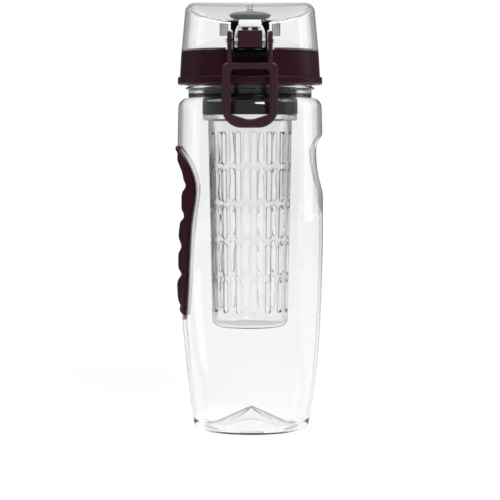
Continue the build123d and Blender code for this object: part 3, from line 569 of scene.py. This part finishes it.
# Grip: the finger side's line, as height and distance from the axis
GRIP_LINE = [
    (70.7, 41.2), (71.4, 42.4), (72.9, 43.4), (74.2, 43.1), (75.8, 42.5), (77.2, 43.2), (79.5, 44.6), (81.5, 44.85),
    (88.4, 44.9), (90.3, 44.3), (92.0, 43.1), (93.8, 41.8), (95.0, 41.45), (96.4, 41.9), (98.3, 43.5), (99.6, 43.85),
    (106.3, 43.75), (107.6, 43.4), (110.5, 41.8), (112.0, 41.5), (113.5, 41.7), (115.4, 42.6), (117.1, 43.3),
    (119.0, 43.35), (125.0, 42.6), (126.4, 42.3), (128.9, 40.1), (130.4, 39.8), (131.9, 40.0), (133.4, 40.8),
    (134.8, 41.35), (141.5, 41.35), (143.4, 41.2), (144.8, 40.8), (146.6, 39.6), (148.5, 38.5), (150.0, 38.9),
    (151.8, 39.9), (156.7, 40.9), (160.2, 42.5), (163.7, 44.1), (165.6, 44.2), (167.4, 43.75), (169.0, 44.3),
    (170.4, 45.4), (171.3, 45.6), (172.1, 44.9), (172.5, 43.8),
]
GRIP_BLUR = (-0.6, -0.3, 0, 0.3, 0.6)      # the line is averaged over these heights
# The grip's limit lies GRIP_PROUD outside the turned body, and further out below GRIP_LOW_TOP and at the lip on top
GRIP_PROUD, GRIP_LOW_PROUD, GRIP_LOW_TOP, GRIP_LOW_FADE = 0.5, 0.8, 100.0, 12
GRIP_LIP_START, GRIP_LIP_TOP, GRIP_LIP_PROUD, GRIP_LIMIT = 160.0, 170.6, 1.55, 46.25
# Least room between the seat and that limit, gap over the seat, and least thickness
GRIP_LEAST, GRIP_SEAT_GAP, GRIP_EDGE_LEAST = 0.1, 0.06, 0.02
LOBE_ROUND = 1.6
# Across the grip, as shares of its half width: the raised band at each edge, the groove beside it and the edge
BAND_START, BAND_FADE, BAND_THICKNESS, BAND_BELOW_LIMIT = 0.62, 0.08, 4.2, 0.9
GROOVE_PLACE, GROOVE_WIDTH, GROOVE_DEPTH = 0.6, 0.04, 0.8
EDGE_START, EDGE_ROUND = 0.93, 0.9
# The lobes' darker rubber is painted shade
LOBE_HALF = 0.61      # faces nearer the middle than this have lobe_rubber
# Rounding of the bottom and top ends: how far it reaches up or down, and how deep it goes
END_OFFSET, END_LOW, END_HIGH, END_ROUND, LIP_ROUND = 0.15, 0.6, 1.2, 0.5, 1.1
GRIP_ACROSS, GRIP_STEP = 84, 0.45


def along(line, z):
    """The value at a height on a line of (height, value) points."""
    for (z0, v0), (z1, v1) in zip(line, line[1:]):
        if z <= z1:
            return v0 + (v1 - v0) * share_of((z - z0) / (z1 - z0))
    return line[-1][1]


def grip_limit(z):
    """How far the grip may stand from the axis at a height."""
    limit = turned_radius(z) + GRIP_PROUD + GRIP_LOW_PROUD * share_of((GRIP_LOW_TOP - z) / GRIP_LOW_FADE)
    if z > GRIP_LIP_START:
        limit += GRIP_LIP_PROUD * (z - GRIP_LIP_START) / (GRIP_LIP_TOP - GRIP_LIP_START)
    return min(limit, GRIP_LIMIT)


def grip_row(z):
    """The grip's outer and inner points at a height, from one edge to the other."""
    limit = grip_limit(z)
    seat = min(seat_offset(z), limit - GRIP_LEAST) + GRIP_SEAT_GAP
    half = math.acos(seat / limit)
    finger = sum(along(GRIP_LINE, z + d) for d in GRIP_BLUR) / len(GRIP_BLUR)
    end = min((z - SEAT_BOTTOM + END_OFFSET) / END_LOW, (SEAT_TOP - z) / END_HIGH, 1.0)
    end_drop = (END_ROUND if z < GRIP_LIP_START else LIP_ROUND) * quarter_round(1 - end)
    outer, inner = [], []
    for i in range(GRIP_ACROSS + 1):
        u = 2 * i / GRIP_ACROSS - 1
        phi = u * half
        floor = seat / math.cos(phi)
        lobed = soft_min(finger / math.cos(phi), limit, LOBE_ROUND)
        band = ease((abs(u) - BAND_START) / BAND_FADE)
        radius = lobed * (1 - band) + max(lobed, min(limit - BAND_BELOW_LIMIT, floor + BAND_THICKNESS)) * band
        radius -= GROOVE_DEPTH * math.exp(-((abs(u) - GROOVE_PLACE) / GROOVE_WIDTH) ** 2)
        radius -= EDGE_ROUND * quarter_round(share_of((abs(u) - EDGE_START) / (1 - EDGE_START)))
        radius = max(radius - end_drop, floor + GRIP_EDGE_LEAST)
        outer.append((-radius * math.cos(phi), radius * math.sin(phi), z))
        inner.append((-seat, seat * math.tan(phi), z))
    return outer, inner


def grip_piece():
    """The soft grip: finger lobes between notches, with a smooth raised band down each side. The lobes are in a darker
    rubber as painted shade.
    """
    rows = [grip_row(z) for z in steps(SEAT_BOTTOM, SEAT_TOP, GRIP_STEP) + [SEAT_TOP]]
    verts = [point for outer, _ in rows for point in outer] + [point for _, inner in rows for point in inner]
    width = GRIP_ACROSS + 1
    back = len(rows) * width
    faces = []
    for r in range(len(rows) - 1):
        for i in range(GRIP_ACROSS):
            a = r * width + i
            faces.append((a, a + 1, a + width + 1, a + width))
            faces.append((back + a + 1, back + a, back + a + width, back + a + width + 1))
    for r in range(len(rows) - 1):
        for i in (0, GRIP_ACROSS):
            a = r * width + i
            quad = (a, a + width, back + a + width, back + a)
            faces.append(quad if i == 0 else tuple(reversed(quad)))
    for r in (0, len(rows) - 1):
        for i in range(GRIP_ACROSS):
            a = r * width + i
            quad = (a + 1, a, back + a, back + a + 1)
            faces.append(quad if r == 0 else tuple(reversed(quad)))
    obj = mesh_object("finger_grip", leaned(verts), faces, "bottle", ["side_grip"], "grip_rubber")
    obj.data.materials.append(MATERIALS["lobe_rubber"])
    # The lobe faces take the darker rubber: painted shade
    for face in obj.data.polygons:
        if all(i < back and abs(2 * (i % width) / GRIP_ACROSS - 1) < LOBE_HALF for i in face.vertices):
            face.material_index = 1
    tidy_normals(obj)


# Soft seals: inner and outer radius, bottom, top and rounding of the rings; (radius, height) points of the plugs
GASKET = (35.65, 38.65, 223.9, 226.3, 0.5)
RING_SEAL = (26.7, 28.6, 199.3, 200.3, 0.3)
CORNER_POINTS = 5
SEAL_AROUND, VENT_AROUND, STEM_AROUND = 96, 40, 64
STOPPER = [(0.3, 252.5), (5.0, 252.4), (8.5, 252.05), (11.0, 251.45), (12.4, 250.75), (12.75, 250.25), (12.5, 249.75),
           (11.9, 249.2), (11.3, 248.7), (11.0, 248.45), (10.85, 248.7), (10.75, 250.6), (10.4, 251.0),
           (10.1, 251.15), (6.8, 251.15), (0.3, 251.15)]
VENT = [(0.2, 230.2), (2.0, 230.2), (2.7, 230.05), (3.0, 229.7), (2.9, 229.22), (1.4, 229.2), (1.4, 226.6),
        (2.2, 226.6), (2.15, 226.1), (1.7, 225.3), (1.2, 225.0), (0.2, 225.0)]
VENT_Y = 21.0
# The clear stem over the stopper
STEM = [(0.3, 257.15), (3.0, 257.15), (2.0, 256.6), (1.7, 255.6), (1.7, 254.0), (2.0, 253.1), (3.0, 252.55),
        (0.3, 252.45)]


def turned_piece(name, profile, body, replaced, material, y=0, around=SEAL_AROUND, closed=True):
    """A piece turned about an upright axis from (radius, height) points. closed joins its last point to its first."""
    angles = [2 * math.pi * i / around for i in range(around)]
    rings = [[(radius * math.cos(a), y + radius * math.sin(a), z) for a in angles] for radius, z in profile]
    verts, faces = ringed(rings, closed=True) if closed else capped(rings)
    tidy_normals(mesh_object(name, verts, faces, body, replaced, material))


def rounded_band(inner, outer, bottom, top, round_off):
    """Points round a ring's section with rounded corners."""
    corners = [(outer - round_off, bottom + round_off, -90), (outer - round_off, top - round_off, 0),
               (inner + round_off, top - round_off, 90), (inner + round_off, bottom + round_off, 180)]
    points = []
    for x, z, start in corners:
        for i in range(CORNER_POINTS):
            angle = math.radians(start + 90 / (CORNER_POINTS - 1) * i)
            points.append((x + round_off * math.cos(angle), z + round_off * math.sin(angle)))
    return points


def seals():
    """The gasket, the infuser's seal, the spout's stopper and the vent's plug."""
    grey = "grey_silicone"
    turned_piece("lid_gasket", rounded_band(*GASKET), "neck_seal", ["neck_gasket"], grey)
    turned_piece("ring_seal", rounded_band(*RING_SEAL), "infuser_seal", ["infuser_seal"], grey)
    turned_piece("spout_stopper", STOPPER, "dome", ["spout_seal"], grey, closed=False)
    turned_piece("vent_plug", VENT, "lid", ["vent_valve"], grey, y=VENT_Y, around=VENT_AROUND, closed=False)


# Dome: a turned cover with a flat front and a sloped top, drawn outward from a point low on its axis
DOME_LOW, DOME_HIGH, DOME_TOP = 229.3, 252.9, 258.9
DOME_LOW_RADIUS, DOME_HIGH_RADIUS, DOME_CORNER = 41.6, 39.4, 6.0
DOME_FACET, DOME_SLOPE_START, DOME_SLOPE = 37.5, 5.9, math.radians(22)
DOME_WALL, DOME_EDGE = 1.8, 1.7
DOME_EYE = 232.0
FACING = 0.2      # cosine below which a way out doesn't meet a flat
# Points around, and how many rings lie between these shares of the way from the rim to the top
DOME_AROUND = 360
DOME_RINGS = [(0, 0.22, 14), (0.22, 0.5, 84), (0.5, 0.999, 26)]

# Hinge: knuckles on the pin and their arms
HINGE_Y, HINGE_Z = 45.0, 230.6
KNUCKLE_RADIUS, KNUCKLE_BORE, KNUCKLE_IN, KNUCKLE_OUT = 3.0, 1.3, 4.0, 8.0
KNUCKLE_BEVEL, KNUCKLE_CUT, KNUCKLE_AROUND = 0.4, 0.3, 72
ARM_LENGTH, ARM_TOP, ARM_BOTTOM = 4.4, 3.2, 2.6
ARM_ROOT, ARM_ROOT_BOTTOM = 3.25, 1.15
ARM_FACING, ARM_RISING = 0.1, 0.05      # the least that a way out has to go forward, and up or down, to meet the arm


def dome_reach(angle, rise, inset):
    """How far the dome's skin stands from DOME_EYE, one way out. inset draws it inward."""
    across, up = math.cos(rise), math.sin(rise)
    taper = (DOME_LOW_RADIUS - DOME_HIGH_RADIUS) / (DOME_HIGH - DOME_LOW)
    reach = (DOME_LOW_RADIUS - inset - taper * (DOME_EYE - DOME_LOW)) / (across + taper * up)
    if reach * up > DOME_HIGH - DOME_EYE:
        centre = (DOME_HIGH_RADIUS - DOME_CORNER, DOME_HIGH - DOME_EYE)
        middle = centre[0] * across + centre[1] * up
        rest = centre[0] ** 2 + centre[1] ** 2 - (DOME_CORNER - inset) ** 2
        reach = middle + math.sqrt(max(middle ** 2 - rest, 0.0))
        if reach * across < centre[0]:
            reach = (DOME_TOP - inset - DOME_EYE) / up
    front = -across * math.sin(angle)
    if front > FACING:
        reach = soft_min(reach, (DOME_FACET - inset) / front, DOME_EDGE)
    steep = math.sin(DOME_SLOPE) * front + math.cos(DOME_SLOPE) * up
    if steep > FACING:
        drop = math.sin(DOME_SLOPE) * DOME_SLOPE_START + math.cos(DOME_SLOPE) * (DOME_TOP - DOME_EYE)
        reach = soft_min(reach, (drop - inset) / steep, DOME_EDGE)
    return reach


def dome_skin(inset):
    """The rings of the dome's outside, or with an inset of its inside, from its rim to its top."""
    angles = [2 * math.pi * i / DOME_AROUND for i in range(DOME_AROUND)]
    low = [math.atan2(DOME_LOW - DOME_EYE, soft_min(
        DOME_LOW_RADIUS - inset, (DOME_FACET - inset) / max(-math.sin(a), FACING), DOME_EDGE)) for a in angles]
    rings = []
    for share in [share for row in DOME_RINGS for share in evenly(*row)] + [DOME_RINGS[-1][1]]:
        ring = []
        for a, start in zip(angles, low):
            rise = start + (math.pi / 2 - start) * share
            reach = dome_reach(a, rise, inset)
            ring.append((reach * math.cos(rise) * math.cos(a), reach * math.cos(rise) * math.sin(a),
                         DOME_EYE + reach * math.sin(rise)))
        rings.append(ring)
    return rings


def dome_piece():
    """The clear dome as one closed skin, outside and inside."""
    verts, faces = capped(list(reversed(dome_skin(DOME_WALL))) + dome_skin(0))
    tidy_normals(mesh_object("dome_cover", verts, faces, "dome", ["dome_lid"], "dome_plastic"))


def knuckle_reach(way):
    """The outline of a hinge knuckle and its arm, from the pin's axis."""
    forward, up = -math.cos(way), math.sin(way)
    if forward <= ARM_FACING:
        return KNUCKLE_RADIUS
    arm = ARM_LENGTH / forward
    if up > ARM_RISING:
        arm = min(arm, ARM_TOP / up)
    if up < -ARM_RISING:
        arm = min(arm, max(ARM_ROOT / forward, ARM_ROOT_BOTTOM / -up), ARM_BOTTOM / -up)
    return max(KNUCKLE_RADIUS, arm)


def dome_knuckles():
    """Two knuckles with arms that carry the dome on its hinge pin."""
    stations = [(KNUCKLE_IN, None), (KNUCKLE_IN, KNUCKLE_CUT), (KNUCKLE_IN + KNUCKLE_BEVEL, 0.0),
                (KNUCKLE_OUT - KNUCKLE_BEVEL, 0.0), (KNUCKLE_OUT, KNUCKLE_CUT), (KNUCKLE_OUT, None)]
    ways = [2 * math.pi * i / KNUCKLE_AROUND for i in range(KNUCKLE_AROUND)]
    verts, faces = [], []
    for side in (-1, 1):
        rings = []
        for x, cut in stations:
            reaches = [KNUCKLE_BORE if cut is None else knuckle_reach(way) - cut for way in ways]
            rings.append([(side * x, HINGE_Y + reach * math.cos(way), HINGE_Z + reach * math.sin(way))
                          for way, reach in zip(ways, reaches)])
        more_verts, more_faces = ringed(rings, closed=True)
        faces += [tuple(len(verts) + i for i in face) for face in more_faces]
        verts += more_verts
    tidy_normals(mesh_object("dome_knuckles", verts, faces, "dome", ["dome_lid"], "clear_plastic", smooth=False))


def upright(x0, x1, z0, z1):
    """The (x, z) outline of a rectangle."""
    return [(x0, z0), (x1, z0), (x1, z1), (x0, z1)]


# Tab in front of the dome, painted opaque white as painted highlight for the clear tab's bright reflections:
# one leg's outline, outer side up and inner side down, then the plate and the lintel
TAB_LEG = [(7.2, 230.2), (9.0, 230.2), (9.15, 233.0), (9.1, 236.0), (8.85, 238.6), (8.4, 240.6), (7.75, 242.1),
           (6.9, 243.3), (6.5, 243.3), (6.5, 240.9), (6.9, 240.1), (7.2, 238.6)]
TAB_PLATE = [(-7.1, 237.0), (7.1, 237.0), (7.1, 242.3), (4.6, 242.3), (4.6, 240.2), (1.0, 240.2), (1.0, 242.3),
             (-1.0, 242.3), (-1.0, 240.2), (-4.6, 240.2), (-4.6, 242.3), (-7.1, 242.3)]
TAB_FRONT, TAB_BACK, TAB_PLATE_SET_BACK, TAB_EDGE = -44.6, -42.8, 0.02, 0.35
LINTEL = upright(-6.5, 6.5, 242.2, 246.3)
LINTEL_FRONT, LINTEL_BACK = -45.6, -36.6

# Black webs inside the latch tower, painted shade in the gaps beside the tab:
# near and far side, bottom and top, front and back
WEB_IN, WEB_OUT, WEB_LOW, WEB_HIGH = 6.8, 9.6, 229.0, 245.2
WEB_FRONT, WEB_BACK, WEB_EDGE = -40.4, -39.2, 0.15

# Ribs behind the dome's flat front
RIBS, RIB_FIRST, RIB_PITCH, RIB_HALF, RIB_LOW, RIB_HIGH = 5, 13.2, 1.0, 0.4, 237.3, 244.8
RIB_FRONT, RIB_BACK, RIB_EDGE = -35.75, -32.5, 0.08


def prisms(name, shapes, body, replaced, material, edge):
    """Flat pieces cut from (x, z) outlines between two depths, with softened edges."""
    verts, faces = [], []
    for outline, front, back in shapes:
        start, count = len(verts), len(outline)
        verts += [(x, front, z) for x, z in outline] + [(x, back, z) for x, z in outline]
        faces.append(tuple(start + i for i in range(count)))
        faces.append(tuple(start + count + i for i in reversed(range(count))))
        for i in range(count):
            j = (i + 1) % count
            faces.append((start + i, start + j, start + count + j, start + count + i))
    obj = mesh_object(name, verts, faces, body, replaced, material, smooth=False)
    tidy_normals(obj, bevel=edge)
    obj.data.shade_smooth()


def dome_tab():
    """The tab that the button's hooks hold: two curved legs, a plate with two slots and a lintel, painted white as
    painted highlight.
    """
    left = [(-x, z) for x, z in reversed(TAB_LEG)]
    prisms("dome_tab", [(TAB_LEG, TAB_FRONT, TAB_BACK), (left, TAB_FRONT, TAB_BACK),
                        (TAB_PLATE, TAB_FRONT + TAB_PLATE_SET_BACK, TAB_BACK), (LINTEL, LINTEL_FRONT, LINTEL_BACK)],
           "dome", ["dome_lid"], "milky_plastic", TAB_EDGE)


def latch_shade_webs():
    """Black webs that close the gaps between the latch tower's ears and the tab: painted shade."""
    shapes = [(upright(side * WEB_IN, side * WEB_OUT, WEB_LOW, WEB_HIGH), WEB_FRONT, WEB_BACK) for side in (-1, 1)]
    prisms("latch_shade_webs", shapes, "lid", [], "black_plastic", WEB_EDGE)


def dome_ribs():
    """Clear stiffening ribs behind the dome's flat front, beside the latch, tinted dark grey as painted shade."""
    middles = [side * (RIB_FIRST + RIB_PITCH * i) for side in (-1, 1) for i in range(RIBS)]
    shapes = [(upright(x - RIB_HALF, x + RIB_HALF, RIB_LOW, RIB_HIGH), RIB_FRONT, RIB_BACK) for x in middles]
    prisms("dome_ribs", shapes, "dome", [], "rib_plastic", RIB_EDGE)


def dome_stem():
    """The short stem under the dome's top that carries the spout's stopper."""
    turned_piece("dome_stem", STEM, "dome", ["dome_lid"], "clear_plastic", around=STEM_AROUND, closed=False)


# Springs: coil and wire radius, pitch, quarter turns, first and last leg, and the y and z of the axis
DOME_SPRING = (1.9, 0.4, 1.3, 15, 6.2, 4.4, HINGE_Y, HINGE_Z)
ROCKER_SPRING = (1.23, 0.18, 0.8, 14, 3.0, 3.0, -46.3, 234.5)
POINTS_PER_QUARTER, WIRE_SIDES = 10, 12


def wire_spring(name, spring, body, node):
    """A torsion spring as one tube: a leg, a coil along X and a leg."""
    radius, wire, pitch, quarters, first_leg, last_leg, y, z = spring
    start_x = -pitch * quarters / 8
    points = []
    for i in range(quarters * POINTS_PER_QUARTER + 1):
        turn = i / POINTS_PER_QUARTER * math.pi / 2
        points.append(Vector((start_x + pitch * turn / (2 * math.pi), y + radius * math.cos(math.pi - turn),
                              z + radius * math.sin(math.pi - turn))))
    first_way = (points[1] - points[0]).normalized()
    last_way = (points[-1] - points[-2]).normalized()
    points = [points[0] - first_way * first_leg] + points + [points[-1] + last_way * last_leg]
    rings = []
    coil_axis = Vector((1, 0, 0))
    for i, point in enumerate(points):
        way = (points[min(i + 1, len(points) - 1)] - points[max(i - 1, 0)]).normalized()
        side = (coil_axis - way * coil_axis.dot(way)).normalized()
        other = way.cross(side)
        turns = [2 * math.pi * k / WIRE_SIDES for k in range(WIRE_SIDES)]
        rings.append([tuple(point + side * (wire * math.cos(t)) + other * (wire * math.sin(t))) for t in turns])
    verts, faces = capped(rings)
    tidy_normals(mesh_object(name, verts, faces, body, [node], "spring_steel"))


bottle_piece()
grip_piece()
seals()
dome_piece()
dome_knuckles()
dome_tab()
latch_shade_webs()
dome_ribs()
dome_stem()
wire_spring("dome_spring", DOME_SPRING, "lid", "hinge_spring")
wire_spring("rocker_spring", ROCKER_SPRING, "button", "button_spring")


def aimed(obj, place, aim):
    """Adds a camera or lamp to the scene at a place, turned to an aim."""
    bpy.context.scene.collection.objects.link(obj)
    obj.location = place
    obj.rotation_euler = (Vector(aim) - obj.location).to_track_quat("-Z", "Y").to_euler()


def camera():
    """The photo's view of the latch side."""
    data = bpy.data.cameras.new("camera")
    data.lens = LENS_MM
    data.sensor_width = SENSOR_MM
    obj = bpy.data.objects.new("camera", data)
    aimed(obj, (0, -EYE_DISTANCE, EYE_HEIGHT), (0, 0, AIM_HEIGHT))
    bpy.context.scene.camera = obj


def lamps():
    """Soft boxes at both sides, in front and above."""
    for name, (place, aim, size, watts) in LAMPS.items():
        data = bpy.data.lights.new(name, "AREA")
        data.shape = "RECTANGLE"
        data.size, data.size_y = size
        data.energy = watts
        aimed(bpy.data.objects.new(name, data), place, aim)


def lit_by(nodes, links, outputs):
    """1 for any of the given kinds of ray, else 0."""
    path = nodes.new("ShaderNodeLightPath")
    total = path.outputs[outputs[0]]
    for other in outputs[1:]:
        add = nodes.new("ShaderNodeMath")
        add.operation = "ADD"
        add.use_clamp = True
        links.new(total, add.inputs[0])
        links.new(path.outputs[other], add.inputs[1])
        total = add.outputs["Value"]
    return total


def studio_world():
    """White behind everything, a dim surround in glass and gloss, and soft grey light on the rest."""
    world = bpy.data.worlds.new("studio")
    bpy.context.scene.world = world
    world.use_nodes = True
    nodes, links = world.node_tree.nodes, world.node_tree.links
    nodes.clear()
    out = nodes.new("ShaderNodeOutputWorld")
    tones = []
    for level in (WORLD_LIGHT, WORLD_REFLECTED, WORLD_THROUGH_GLASS, WORLD_SEEN):
        tone = nodes.new("ShaderNodeBackground")
        tone.inputs["Color"].default_value = (level, level, level, 1)
        tones.append(tone.outputs["Background"])
    shine = mixed(nodes, links, lit_by(nodes, links, ["Is Glossy Ray"]), tones[0], tones[1])
    glass = mixed(nodes, links, lit_by(nodes, links, ["Is Transmission Ray"]), shine, tones[2])
    links.new(mixed(nodes, links, lit_by(nodes, links, ["Is Camera Ray"]), glass, tones[3]), out.inputs["Surface"])


def sheet(name, corners, paint, roughness):
    """A flat stage piece in a plain paint, and what is needed to make it glow."""
    mesh = bpy.data.meshes.new(name)
    mesh.from_pydata(corners, [], [(0, 1, 2, 3)])
    obj = bpy.data.objects.new(name, mesh)
    bpy.context.scene.collection.objects.link(obj)
    mat, nodes, links, shader, out = new_material(name)
    shader.inputs["Base Color"].default_value = (paint, paint, paint, 1)
    shader.inputs["Roughness"].default_value = roughness
    mesh.materials.append(mat)
    return obj, nodes, links, shader, out


def glowing(nodes, links, shader, out, factor):
    """Lets the paint glow white by a factor from 0 to 1."""
    glow = nodes.new("ShaderNodeEmission")
    links.new(mixed(nodes, links, factor, shader.outputs["BSDF"], glow.outputs["Emission"]), out.inputs["Surface"])


def floor_and_backdrop():
    """A pale floor that keeps the shadow near the bottle, and a white backdrop behind it."""
    half = FLOOR_HALF
    floor, nodes, links, shader, out = sheet(
        "floor", [(-half, -half, 0), (half, -half, 0), (half, half, 0), (-half, half, 0)], FLOOR_PAINT,
        FLOOR_ROUGHNESS)
    shader.inputs["Specular IOR Level"].default_value = FLOOR_GLOSS
    place = nodes.new("ShaderNodeTexCoord")
    away = nodes.new("ShaderNodeVectorMath")
    away.operation = "LENGTH"
    links.new(place.outputs["Object"], away.inputs[0])
    fade = nodes.new("ShaderNodeMapRange")
    fade.interpolation_type = "SMOOTHSTEP"
    fade.inputs["From Min"].default_value = GLOW_NEAR
    fade.inputs["From Max"].default_value = GLOW_FAR
    fade.inputs["To Min"].default_value = GLOW_NEAR_LEVEL
    fade.inputs["To Max"].default_value = GLOW_FAR_LEVEL
    links.new(away.outputs["Value"], fade.inputs["Value"])
    seen = nodes.new("ShaderNodeMath")
    seen.operation = "MULTIPLY"
    links.new(lit_by(nodes, links, ["Is Camera Ray", "Is Transmission Ray"]), seen.inputs[0])
    links.new(fade.outputs["Result"], seen.inputs[1])
    glowing(nodes, links, shader, out, seen.outputs["Value"])

    low, high = BACKDROP_LOW, BACKDROP_HIGH
    corners = [(x, BACKDROP_Y, z) for x, z in upright(-BACKDROP_HALF, BACKDROP_HALF, low, high)]
    wall, nodes, links, shader, out = sheet("backdrop", corners, BACKDROP_PAINT, BACKDROP_ROUGHNESS)
    glowing(nodes, links, shader, out,
            lit_by(nodes, links, ["Is Camera Ray", "Is Transmission Ray", "Is Glossy Ray"]))


camera()
studio_world()
floor_and_backdrop()
lamps()
bpy.context.scene.view_settings.view_transform = "Standard"
